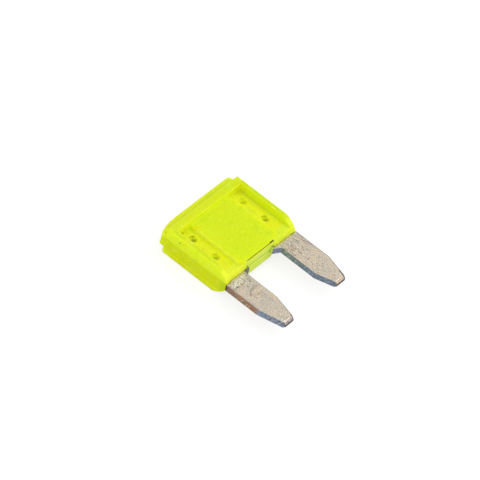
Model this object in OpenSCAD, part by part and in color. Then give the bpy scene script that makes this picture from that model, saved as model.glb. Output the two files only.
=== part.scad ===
// A small automotive blade fuse: a moulded plastic housing pressed over one
// stamped metal element. It lies on its back with the blades along -Y, the
// crown along +Y and the front face up. Its origin is under the middle of it.

/* [Blades] */
// Width of each blade
blade_w = 2.8; // [2.4:0.05:3.1]
// Distance between the blades' centre lines
blade_pitch = 8.1; // [7.8:0.05:8.4]
// Thickness of the sheet that the element is stamped from
sheet_t = 0.8; // [0.6:0.05:0.9]
// Length of each blade below the housing
blade_len = 7.25; // [6.5:0.05:9]
// Width of each blade's flat tip
tip_w = 1.24; // [0.9:0.02:1.6]
// Length of the bevel at each tip
bevel_len = 0.28; // [0.1:0.02:0.5]
// Thickness left at the end of each bevelled tip
tip_t = 0.28; // [0.2:0.02:0.5]
// Length of the left blade's taper along its outer edge
left_outer_taper = 3.1; // [2:0.05:4]
// Length of the left blade's taper along its inner edge
left_inner_taper = 2.95; // [2:0.05:4]
// Length of the right blade's taper along its inner edge
right_inner_taper = 2.35; // [2:0.05:4]
// Length of the right blade's taper along its outer edge
right_outer_taper = 2.8; // [2:0.05:4]
// Radius where each taper starts
knee_r = 0.9; // [0.1:0.05:1.2]
// How far each blade's inner shoulder reaches towards the middle
shoulder_w = 0.75; // [0.4:0.05:0.9]
// How far below the housing each inner shoulder starts
shoulder_drop = 0.5; // [0.4:0.05:1.2]
// Height of each shoulder's upright end below the mouth
shoulder_end = 0.1; // [0.05:0.05:0.3]

/* [Element inside] */
// Width of each leg inside the housing, from the shoulder's inner end
leg_w = 2.85; // [2.6:0.05:2.9]
// Height of each leg's full width above the mouth
leg_h = 6.8; // [6.5:0.05:6.9]
// Width of the test tab on top of each leg
tab_w = 1.7; // [1.1:0.05:1.7]
// Distance from each leg's outer edge to its test tab
tab_inset = 0.3; // [0.1:0.05:0.5]
// Height of the test tabs above the mouth
tab_h = 8.1; // [7.6:0.05:8.3]
// Diameter of the stake holes through each leg
stake_hole_d = 1.2; // [1:0.05:1.4]
// Thickness of the thinned fusible link
link_t = 0.2; // [0.2:0.02:0.4]
// Width of the fusible link along its curve
link_w = 0.5; // [0.3:0.02:0.7]
// Distance between the link's turns and the legs
link_side_gap = 0.2; // [0.1:0.05:0.4]
// Length of the straight stretches between the link's turns
link_rise = 1.0; // [0.4:0.05:1.4]

/* [Housing] */
// How far the housing's sides stand out past the blades' outer edges
side_margin = 0; // [0:0.05:0.4]
// Thickness of the housing
housing_t = 3.6; // [3.4:0.05:4.2]
// Height of the housing above its mouth, crown ridge included
housing_h = 9.05; // [8.9:0.05:9.6]
// How much narrower each side is at the mouth
side_draft = 0.06; // [0:0.01:0.12]
// Length of the curved lead-in at the mouth, on both faces
lead_len = 1.6; // [1:0.05:2]
// How far the lead-in bows out from a straight slope
lead_bulge = 0.15; // [0.05:0.01:0.25]
// Thickness of the housing at its mouth
mouth_t = 1.15; // [1.1:0.05:1.6]
// How far the mouth steps back between the blades
mouth_step = 0.22; // [0.1:0.02:0.5]
// How far that step reaches past the inner ends of the blades' shoulders
step_margin = 0.25; // [0.1:0.05:0.4]
// Radius of the housing's long edges
edge_r = 0.25; // [0.1:0.05:0.35]

/* [Crown] */
// Thickness of the ridge along the top of the crown
ridge_t = 1.7; // [1.4:0.05:2.2]
// Height of the ridge above the crown's shoulders
ridge_h = 0.85; // [0.4:0.05:1]
// How far the shoulders fall from the ridge to the faces
shoulder_fall = 0.12; // [0:0.01:0.3]
// How far the ridge falls at its left end
ridge_fall = 0.45; // [0.1:0.05:0.6]
// Length over which the ridge falls at its left end
ridge_run = 1.6; // [1:0.05:2.5]
// Radius that blends the ridge into that fall
ridge_blend_r = 8; // [2:0.5:9]
// Radius of the ridge's right corner
ridge_corner_r = 0.5; // [0.2:0.05:0.8]
// Radius of the shoulders' corners
shoulder_corner_r = 0.35; // [0.1:0.05:0.6]

/* [Faces] */
// Width of the rim along each side of a face
rim_w = 0.58; // [0.4:0.02:0.8]
// Thickness of the housing across the sunken side bands
band_t = 1.95; // [1.8:0.05:2.2]
// Thickness of the housing across the raised middle
block_t = 2.7; // [2.3:0.05:2.8]
// Width of the raised middle
block_w = 5.9; // [5:0.05:6.2]
// Radius of the raised middle's lower corners
block_corner_r = 0.8; // [0.2:0.05:1.2]
// Height of the crown's crease above the mouth
crease_y = 7.15; // [6.8:0.05:7.3]
// How far the sunken faces' walls lean, top to bottom
wall_lean = 0.12; // [0:0.01:0.2]
// Diameter of the stake dimples
dimple_d = 0.8; // [0.6:0.05:1]
// Depth of the stake dimples
dimple_depth = 0.3; // [0.1:0.05:0.35]
// Diameter of the flat bottom of each dimple
dimple_floor_d = 0.5; // [0.3:0.05:0.6]
// Height of the lower stakes above the mouth
stake_y = 2.8; // [2.4:0.05:3.2]
// Distance between the lower and upper stakes
stake_rise = 3.0; // [2.4:0.05:3]

/* [Fits] */
// Clearance between the sheet and each face of its slot
sheet_gap = 0.05; // [0.03:0.01:0.08]
// Clearance between the element's edges and the slot's ends
edge_gap = 0.1; // [0.05:0.01:0.12]
// Clearance between a stake and its hole, all round
stake_gap = 0.1; // [0.05:0.01:0.15]
// Clearance between a test tab and its slot, on each side
test_gap = 0.15; // [0.05:0.05:0.2]
// How far the chamber reaches past the legs' inner edges
chamber_margin = 0.05; // [0:0.01:0.1]
// Thickness of the chamber round the link
chamber_t = 1.2; // [1.2:0.05:1.6]
// Height of the chamber's floor above the mouth
chamber_y = 1.4; // [1:0.05:1.8]
// Height of the chamber from its floor to its roof
chamber_h = 5.1; // [4:0.05:5.2]

/* [Hidden] */
$fn = 32;
// Colours as the photo shows them
housing_colour = [0.86, 0.94, 0.1, 0.85];
element_colour = [0.72, 0.68, 0.63];
// Segments of each rounded corner in an outline
corner_steps = 6;
// Distance past a surface at which a cut starts
cut = 1;
overall_len = blade_len + housing_h;
outer_x = (blade_pitch + blade_w) / 2;
inner_x = (blade_pitch - blade_w) / 2;
half_w = outer_x + side_margin;
housing_w = 2 * half_w;
half_t = housing_t / 2;
mouth_half_w = half_w - side_draft;
blade_x = blade_pitch / 2;
neck_x = inner_x - shoulder_w;
leg_outer_x = neck_x + leg_w;
ridge_y = housing_h - ridge_h;
stake_d = stake_hole_d - 2 * stake_gap;
slot_t = sheet_t + 2 * sheet_gap;
leg_slot_w = leg_w + 2 * edge_gap;
link_slot_t = link_t + 2 * sheet_gap;
step_half_w = neck_x + step_margin;
chamber_half_w = neck_x + chamber_margin;
test_x = leg_outer_x - tab_inset - tab_w / 2;
test_slot_w = tab_w + 2 * test_gap;
stake_x = (block_w / 2 + leg_outer_x) / 2;
link_r = (neck_x - link_side_gap - link_w / 2) / 2;
link_y = chamber_y + chamber_h / 2;

// Points of a polygon whose corners [x, y, radius] are rounded
function rounded(corners) = [
    for (i = [0 : len(corners) - 1])
        each corner_points(
            corners[(i + len(corners) - 1) % len(corners)], corners[i], corners[(i + 1) % len(corners)]
        )
];

// Points of the rounded corner at b, on the way from a to c
function corner_points(a, b, c) =
    let (
        p = [b.x, b.y],
        to_a = unit([a.x, a.y] - p),
        to_c = unit([c.x, c.y] - p),
        half = acos(max(-1, min(1, to_a * to_c))) / 2,
        radius = b.z
    )
    radius == 0 ? [p] :
    let (
        centre = p + unit(to_a + to_c) * radius / sin(half),
        start = p + to_a * radius / tan(half),
        finish = p + to_c * radius / tan(half),
        a0 = atan2(start.y - centre.y, start.x - centre.x),
        a1 = atan2(finish.y - centre.y, finish.x - centre.x),
        turn = a1 - a0 > 180 ? a1 - a0 - 360 : a1 - a0 < -180 ? a1 - a0 + 360 : a1 - a0
    )
    [
        for (s = [0 : corner_steps])
            centre + radius * [cos(a0 + turn * s / corner_steps), sin(a0 + turn * s / corner_steps)]
    ];

function unit(v) = v / norm(v);

// Points of an arc from a to b that bows out to the left of the way there
function bowed(a, b, bulge) =
    let (
        chord = b - a,
        side = unit([-chord.y, chord.x]),
        radius = norm(chord) * norm(chord) / (8 * bulge) + bulge / 2,
        centre = (a + b) / 2 + side * (bulge - radius),
        spread = asin(norm(chord) / (2 * radius)),
        middle = atan2(side.y, side.x)
    )
    [
        for (s = [0 : corner_steps])
            let (turn = middle + spread * (1 - 2 * s / corner_steps))
            centre + radius * [cos(turn), sin(turn)]
    ];

function mirrored_z(points) = [for (i = [len(points) - 1 : -1 : 0]) [points[i].x, -points[i].y]];

// Places what is drawn from the middle of the mouth in the part's own frame
module from_mouth() {
    translate([0, overall_len / 2 - housing_h, half_t]) children();
}

// A prism along X whose section is drawn as [y, z]
module along_x(length) {
    rotate([90, 0, 90]) linear_extrude(height = length, center = true) children();
}

// A prism from y0 to y1 whose section is drawn as [x, z]
module along_y(y0, y1) {
    translate([0, y1, 0]) rotate([90, 0, 0]) linear_extrude(height = y1 - y0) children();
}

// A flat plate of the given thickness, centred on the sheet's middle plane
module plate(thickness) {
    linear_extrude(height = thickness, center = true) children();
}

// A child and its mirror image, left and right
module both_sides() {
    children();
    mirror([1, 0, 0]) children();
}

// A child and its mirror image, front and back
module both_faces() {
    children();
    mirror([0, 0, 1]) children();
}

// Outline of one blade, with its inner shoulder, drawn on the right
module blade_outline(inner_taper, outer_taper) {
    polygon(rounded([
        [outer_x, 0, 0],
        [neck_x, 0, 0],
        [neck_x, -shoulder_end, 0],
        [inner_x, -shoulder_drop, 0],
        [inner_x, inner_taper - blade_len, knee_r],
        [blade_x - tip_w / 2, -blade_len, 0],
        [blade_x + tip_w / 2, -blade_len, 0],
        [outer_x, outer_taper - blade_len, knee_r]
    ]));
}

// Outline of one leg inside the housing, drawn on the right
module leg_outline() {
    translate([neck_x, 0]) square([leg_w, leg_h]);
    translate([test_x - tab_w / 2, 0]) square([tab_w, tab_h]);
}

// Both stakes or stake holes of the right leg
module at_stakes() {
    for (y = [stake_y, stake_y + stake_rise])
        translate([stake_x, y, 0]) children();
}

// Side view of a blade's pointed tip, drawn as [y, z]
module blade_profile() {
    polygon([
        [leg_h, -sheet_t / 2], [leg_h, sheet_t / 2],
        [bevel_len - blade_len, sheet_t / 2], [-blade_len, tip_t / 2],
        [-blade_len, -tip_t / 2], [bevel_len - blade_len, -sheet_t / 2]
    ]);
}

// Half a ring of the link, open downwards
module link_turn() {
    intersection() {
        difference() {
            circle(r = link_r + link_w / 2);
            circle(r = link_r - link_w / 2);
        }
        translate([-housing_w / 2, 0]) square([housing_w, housing_w]);
    }
}

// A straight stretch of the link from one point across to another
module link_bar(x0, x1, y0, y1) {
    translate([x0, y0]) square([x1 - x0, y1 - y0]);
}

// Outline of the S-shaped fusible link between the legs
module link_outline() {
    top = link_y + link_rise / 2;
    low = link_y - link_rise / 2;
    translate([-link_r, top]) link_turn();
    translate([link_r, low]) mirror([0, 1]) link_turn();
    link_bar(-link_w / 2, link_w / 2, low, top);
    link_bar(-2 * link_r - link_w / 2, -2 * link_r + link_w / 2, low, top);
    link_bar(2 * link_r - link_w / 2, 2 * link_r + link_w / 2, low, top);
    link_bar(-neck_x - cut / 2, -2 * link_r + link_w / 2, low - link_w, low);
    link_bar(2 * link_r - link_w / 2, neck_x + cut / 2, top, top + link_w);
}

// The stamped element: two blades, their legs and the link between them
module fuse_element() {
    color(element_colour)
    from_mouth()
    union() {
        difference() {
            union() {
                both_sides() plate(sheet_t) leg_outline();
                intersection() {
                    plate(sheet_t) union() {
                        blade_outline(right_inner_taper, right_outer_taper);
                        mirror([1, 0]) blade_outline(left_inner_taper, left_outer_taper);
                    }
                    along_x(2 * outer_x + cut) blade_profile();
                }
            }
            both_sides() at_stakes() cylinder(d = stake_hole_d, h = sheet_t + cut, center = true);
        }
        plate(link_t) link_outline();
    }
}

// Side view of the housing below the ridge, drawn as [y, z]
module body_profile() {
    front = concat(
        bowed([0, mouth_t / 2], [lead_len, half_t], lead_bulge),
        corner_points([lead_len, half_t], [ridge_y - shoulder_fall, half_t, edge_r], [ridge_y, ridge_t / 2]),
        [[ridge_y, ridge_t / 2]]
    );
    polygon(concat(front, mirrored_z(front)));
}

// Plan of the housing below the ridge, drawn as [x, y]
module body_plan() {
    polygon(rounded([
        [-mouth_half_w, 0, 0],
        [mouth_half_w, 0, 0],
        [half_w, ridge_y, shoulder_corner_r],
        [-half_w, ridge_y, shoulder_corner_r]
    ]));
}

// Cross-section of the housing's rounded long edges, drawn as [x, z]
module body_section() {
    polygon(rounded([
        [-half_w, -half_t, edge_r], [half_w, -half_t, edge_r],
        [half_w, half_t, edge_r], [-half_w, half_t, edge_r]
    ]));
}

// Plan of the ridge, which falls away at its left end
module ridge_plan() {
    root_half_w = mouth_half_w + side_draft * crease_y / ridge_y;
    polygon(rounded([
        [-root_half_w, crease_y, 0],
        [root_half_w, crease_y, 0],
        [half_w, ridge_y, 0],
        [half_w, housing_h, ridge_corner_r],
        [ridge_run - half_w, housing_h, ridge_blend_r],
        [-half_w, housing_h - ridge_fall, ridge_corner_r / 2],
        [-half_w, ridge_y, 0]
    ]));
}

// Side view of the ridge with its rounded crest, drawn as [y, z]
module ridge_profile() {
    polygon(rounded([
        [crease_y, -ridge_t / 2, 0], [housing_h, -ridge_t / 2, edge_r / 2],
        [housing_h, ridge_t / 2, edge_r / 2], [crease_y, ridge_t / 2, 0]
    ]));
}

// The solid outer form, before its faces are sunk
module outer_form() {
    difference() {
        intersection() {
            along_x(housing_w + cut) body_profile();
            plate(housing_t + cut) body_plan();
            along_y(-cut, housing_h) body_section();
        }
        translate([-step_half_w, -cut, -half_t]) cube([2 * step_half_w, mouth_step + cut, housing_t]);
    }
    intersection() {
        along_x(housing_w + cut) ridge_profile();
        plate(housing_t + cut) ridge_plan();
    }
}

// The sunken field of the front face, between the rims and below the crease
module face_field() {
    intersection() {
        along_y(-cut, crease_y) polygon([
            [-half_w + rim_w, half_t + cut], [half_w - rim_w, half_t + cut],
            [half_w - rim_w, half_t], [half_w - rim_w - wall_lean, band_t / 2],
            [-half_w + rim_w + wall_lean, band_t / 2], [-half_w + rim_w, half_t]
        ]);
        along_x(housing_w) polygon([
            [-cut, band_t / 2], [crease_y - wall_lean, band_t / 2],
            [crease_y, half_t], [crease_y, half_t + cut], [-cut, half_t + cut]
        ]);
    }
}

// Plan of the raised middle, drawn as [x, y]
module block_plan() {
    polygon(rounded([
        [-block_w / 2, mouth_step, block_corner_r], [block_w / 2, mouth_step, block_corner_r],
        [block_w / 2, crease_y, 0], [-block_w / 2, crease_y, 0]
    ]));
}

// The raised middle that covers the chamber
module block() {
    plate(block_t) block_plan();
}

// The hollow inside: a slot for each leg, the slit that lets the link in, the chamber and the test slots
module inside() {
    both_sides() translate([neck_x - edge_gap, -cut, -slot_t / 2])
        cube([leg_slot_w, leg_h + edge_gap + cut, slot_t]);
    translate([-neck_x, -cut, -link_slot_t / 2]) cube([2 * neck_x, chamber_y + 2 * cut, link_slot_t]);
    translate([-chamber_half_w, chamber_y, -chamber_t / 2])
        cube([2 * chamber_half_w, chamber_h, chamber_t]);
    both_sides() translate([test_x - test_slot_w / 2, leg_h - cut, -slot_t / 2])
        cube([test_slot_w, housing_h - leg_h + 2 * cut, slot_t]);
}

// The moulded housing
module housing() {
    color(housing_colour)
    from_mouth()
    difference() {
        union() {
            difference() {
                union() {
                    difference() {
                        outer_form();
                        both_faces() face_field();
                    }
                    block();
                }
                inside();
            }
            both_sides() at_stakes() cylinder(d = stake_d, h = slot_t + sheet_gap, center = true);
        }
        both_faces() both_sides() at_stakes()
            translate([0, 0, band_t / 2 - dimple_depth])
                cylinder(d1 = dimple_floor_d, d2 = dimple_d, h = dimple_depth);
    }
}

housing();
fuse_element();
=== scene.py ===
import math
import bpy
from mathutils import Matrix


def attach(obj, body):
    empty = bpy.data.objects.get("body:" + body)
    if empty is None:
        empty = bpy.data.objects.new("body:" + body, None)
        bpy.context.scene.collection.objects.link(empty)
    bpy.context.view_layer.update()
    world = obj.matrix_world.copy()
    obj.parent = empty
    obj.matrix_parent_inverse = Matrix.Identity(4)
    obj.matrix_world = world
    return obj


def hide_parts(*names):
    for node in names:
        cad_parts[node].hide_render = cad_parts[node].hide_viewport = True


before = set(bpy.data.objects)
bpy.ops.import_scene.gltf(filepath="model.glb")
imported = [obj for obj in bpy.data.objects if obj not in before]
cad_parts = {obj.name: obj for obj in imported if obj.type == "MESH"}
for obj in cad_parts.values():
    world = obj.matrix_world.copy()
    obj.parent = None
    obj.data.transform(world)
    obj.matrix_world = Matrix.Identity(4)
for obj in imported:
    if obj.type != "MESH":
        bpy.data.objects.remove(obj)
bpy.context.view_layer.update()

from types import SimpleNamespace

import bmesh
import bpy
from mathutils import Matrix, Vector
from mathutils.kdtree import KDTree

MM = 0.001

# The camera, as the photograph was taken
FRAME_PX = 480
FOCAL_PX = 5700
SENSOR_MM = 36
CAMERA_AZIMUTH = -61.44
CAMERA_ELEVATION = 47.31
CAMERA_ROLL = 15.82
CAMERA_DISTANCE = 566.5 * MM
CAMERA_AIM = Vector((0.47, 2.2, 1.8)) * MM
CAMERA_NEAR = 10 * MM
CAMERA_FAR = 10000 * MM

# Light: a soft sky all round, and a floor that shows white with a faint shadow
SKY_STRENGTH = 0.8
FLOOR_HALF = 600 * MM
FLOOR_DROP = 0.01 * MM
FLOOR_ALBEDO = 0.8
FLOOR_SEEN_ALBEDO = 0.3
FLOOR_SEEN_GLOW = 0.76

# Lamps, soft disks that face the part: azimuth and elevation in degrees, and power
LAMPS = {
    "key": (60, 55, 0.17),
    "fill": (-100, 40, 0.07),
    "front": (-15, 22, 0.11),
}
LAMP_DISTANCE = 300 * MM
LAMP_SIZE = 200 * MM

# How finely each moulded or stamped piece is remade, and how soft its edges become
HOUSING_VOXEL = 0.055 * MM
HOUSING_SOFTENING = 2
ELEMENT_VOXEL = 0.04 * MM
ELEMENT_SOFTENING = 3
SOFTENING_FACTOR = 0.5
MAX_TRIANGLES = 190000
WELD = 0.0001 * MM

# An edge of the CAD is one whose faces turn by more than this, and is followed in steps of this length
SHARP = math.radians(28)
EDGE_STEP = 0.05 * MM

# Where the housing's features lie, in millimetres: a RISE is measured both ways from the sheet's middle
MIDDLE_Z = 1.8
RIM_X = 4.87
RIM_RISE = 1.8
BAND_RISE = 0.975
BLOCK_RISE = 1.35
BLOCK_X = 2.95
CREASE_Y = 6.25
STEP_Y = -0.68
STEP_X = 2.15
DIMPLE_X = 3.85
LOW_DIMPLE_Y = 1.9
HIGH_DIMPLE_Y = 4.9

# The line along the block's front edge: its ends, and the groove that makes it
LINE_Y = STEP_Y + 0.05
LINE_Z = MIDDLE_Z + BLOCK_RISE
LINE_START = (-2.35, LINE_Y, LINE_Z)
LINE_END = (2.05, LINE_Y - 0.03, LINE_Z)
GROOVE_WIDTH = 0.15
GROOVE_DEPTH = 0.06

# Where the element's features lie, in millimetres
TOP_Z = 2.2
MOUTH_Y = -0.9
BLADE_X = 4.05
BLADE_INNER_X = 2.65
LEFT_KNEE_Y = -5.05
RIGHT_KNEE_Y = -5.8
BEVEL_Y = -7.87
BEVEL_SLANT = 0.35
TIP_Y = -8.15
TIP_X = 0.62
TIP_SLOPE = 0.27


def srgb(red, green, blue):
    """A colour as a screen shows it, 0 to 255, as the linear colour that shaders take."""
    linear = [((v / 255 + 0.055) / 1.055) ** 2.4 if v > 10 else v / 255 / 12.92 for v in (red, green, blue)]
    return (*linear, 1.0)


def direction(azimuth, elevation):
    """The way from the part to what stands at these angles: azimuth 0 is towards -Y, and 90 towards +X."""
    az, el = math.radians(azimuth), math.radians(elevation)
    return Vector((math.sin(az) * math.cos(el), -math.cos(az) * math.cos(el), math.sin(el)))


def looking(back):
    """The turn of a camera or lamp that looks along the opposite of back."""
    return (-back).to_track_quat("-Z", "Y").to_matrix().to_4x4()


def link(obj):
    bpy.context.scene.collection.objects.link(obj)
    return obj


def add_camera():
    back = direction(CAMERA_AZIMUTH, CAMERA_ELEVATION)
    data = bpy.data.cameras.new("camera")
    data.sensor_width = SENSOR_MM
    data.lens = SENSOR_MM * FOCAL_PX / FRAME_PX
    data.clip_start = CAMERA_NEAR
    data.clip_end = CAMERA_FAR
    camera = link(bpy.data.objects.new("camera", data))
    place = Matrix.Translation(CAMERA_AIM + back * CAMERA_DISTANCE)
    camera.matrix_world = place @ looking(back) @ Matrix.Rotation(math.radians(CAMERA_ROLL), 4, "Z")
    bpy.context.scene.camera = camera


def add_lamp(name, azimuth, elevation, power):
    back = direction(azimuth, elevation)
    data = bpy.data.lights.new(name, "AREA")
    data.shape = "DISK"
    data.size = LAMP_SIZE
    data.energy = power
    lamp = link(bpy.data.objects.new(name, data))
    lamp.matrix_world = Matrix.Translation(back * LAMP_DISTANCE) @ looking(back)


def shows_white(tree):
    """1 for rays that see the background itself, straight or in gloss or glass, and 0 for its light."""
    path = tree.nodes.new("ShaderNodeLightPath")
    seen = path.outputs["Is Camera Ray"]
    for name in ("Is Glossy Ray", "Is Transmission Ray"):
        either = tree.nodes.new("ShaderNodeMath")
        either.operation = "MAXIMUM"
        tree.links.new(seen, either.inputs[0])
        tree.links.new(path.outputs[name], either.inputs[1])
        seen = either.outputs[0]
    return seen


def from_to(tree, amount, start, end):
    """A number that goes from start to end as amount goes from 0 to 1."""
    ramp = tree.nodes.new("ShaderNodeMapRange")
    ramp.inputs["To Min"].default_value = start
    ramp.inputs["To Max"].default_value = end
    tree.links.new(amount, ramp.inputs["Value"])
    return ramp.outputs[0]


def add_world():
    world = bpy.data.worlds.new("studio")
    world.use_nodes = True
    bpy.context.scene.world = world
    tree = world.node_tree
    background = tree.nodes["Background"]
    background.inputs["Color"].default_value = (1, 1, 1, 1)
    tree.links.new(from_to(tree, shows_white(tree), SKY_STRENGTH, 1), background.inputs["Strength"])


def floor_material():
    """Matte grey that lights the part as a floor does, and glows towards the camera until it shows white."""
    material = bpy.data.materials.new("floor")
    material.use_nodes = True
    tree = material.node_tree
    tree.nodes.clear()
    seen = shows_white(tree)
    albedo = tree.nodes.new("ShaderNodeCombineColor")
    for channel in albedo.inputs:
        tree.links.new(from_to(tree, seen, FLOOR_ALBEDO, FLOOR_SEEN_ALBEDO), channel)
    matte = tree.nodes.new("ShaderNodeBsdfDiffuse")
    tree.links.new(albedo.outputs[0], matte.inputs["Color"])
    glow = tree.nodes.new("ShaderNodeEmission")
    tree.links.new(from_to(tree, seen, 0, FLOOR_SEEN_GLOW), glow.inputs["Strength"])
    both = tree.nodes.new("ShaderNodeAddShader")
    tree.links.new(matte.outputs[0], both.inputs[0])
    tree.links.new(glow.outputs[0], both.inputs[1])
    out = tree.nodes.new("ShaderNodeOutputMaterial")
    tree.links.new(both.outputs[0], out.inputs["Surface"])
    return material


def add_floor():
    mesh = bpy.data.meshes.new("floor")
    h = FLOOR_HALF
    mesh.from_pydata([(-h, -h, 0), (h, -h, 0), (h, h, 0), (-h, h, 0)], [], [(0, 1, 2, 3)])
    floor = link(bpy.data.objects.new("floor", mesh))
    floor.location.z = -FLOOR_DROP
    mesh.materials.append(floor_material())


def welded(mesh):
    """A mesh as a bmesh whose faces share their corners."""
    shape = bmesh.new()
    shape.from_mesh(mesh)
    bmesh.ops.remove_doubles(shape, verts=shape.verts, dist=WELD)
    return shape


def softened(node, name, voxel, rounds):
    """A copy of a CAD node with its sharp edges softened, which stands for that node."""
    mesh = bpy.data.meshes.new(name)
    shape = welded(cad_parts[node].data)
    shape.to_mesh(mesh)
    shape.free()
    piece = link(bpy.data.objects.new(name, mesh))
    remesh = piece.modifiers.new("remesh", "REMESH")
    remesh.mode = "VOXEL"
    remesh.voxel_size = voxel
    smooth = piece.modifiers.new("smooth", "SMOOTH")
    smooth.factor = SOFTENING_FACTOR
    smooth.iterations = rounds
    settle(piece)
    triangles = 2 * len(piece.data.polygons)
    print(name, "triangles", triangles)
    if triangles > MAX_TRIANGLES:
        decimate = piece.modifiers.new("decimate", "DECIMATE")
        decimate.ratio = MAX_TRIANGLES / triangles
        settle(piece)
    for polygon in piece.data.polygons:
        polygon.use_smooth = True
    store_edges(piece, node)
    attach(piece, "root")
    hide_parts(node)
    return piece


def settle(piece):
    """Applies a piece's modifiers to its mesh."""
    bpy.context.view_layer.update()
    graph = bpy.context.evaluated_depsgraph_get()
    made = bpy.data.meshes.new_from_object(piece.evaluated_get(graph))
    made.name = piece.data.name
    piece.modifiers.clear()
    piece.data = made


def store_edges(piece, node):
    """Stores how far each point of a piece lies from the CAD node's outer and inner edges, in millimetres."""
    shape = welded(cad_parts[node].data)
    for name, way in (("outer_edge", 1), ("inner_edge", -1)):
        places = []
        for edge in shape.edges:
            if len(edge.link_faces) == 2 and way * edge.calc_face_angle_signed() > SHARP:
                steps = max(1, round(edge.calc_length() / EDGE_STEP))
                a, b = (v.co for v in edge.verts)
                places += [a.lerp(b, i / steps) for i in range(steps + 1)]
        tree = KDTree(len(places))
        for i, place in enumerate(places):
            tree.insert(place, i)
        tree.balance()
        far = [tree.find(v.co)[2] / MM for v in piece.data.vertices]
        piece.data.attributes.new(name, "FLOAT", "POINT").data.foreach_set("value", far)
    shape.free()


def groove(piece, start, end, width, depth):
    """Presses a narrow groove into a piece between two places, in millimetres."""
    a, b = Vector(start) * MM, Vector(end) * MM
    way = (b - a).normalized()
    length = (b - a).length
    mesh = piece.data
    moves = []
    for vertex in mesh.vertices:
        along = min(max((vertex.co - a).dot(way), 0), length)
        away = (vertex.co - a - way * along).length / (width * MM / 2)
        if away < 1:
            moves.append((vertex, vertex.normal * (1 - away * away) * depth * MM))
    for vertex, move in moves:
        vertex.co -= move
    mesh.update()


# Ragged outlines are shifted by noise of this size, as far as this reach, in millimetres
RAGGED_SIZE = 0.3
RAGGED_REACH = 0.35

# A scratch reaches this deep, and fades over this share of it
SCRATCH_DEPTH = 0.3
SCRATCH_SOFT = 0.6

# A bar is full up to these shares of its half sizes
BAR_FULL_ACROSS = 0.6
BAR_FULL_ALONG = 0.85

# Wandering lines lie where a noise has these values, and fade over this much more
LINE_NOISE = (0.475, 0.525)
LINE_NOISE_SOFT = 0.02


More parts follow.
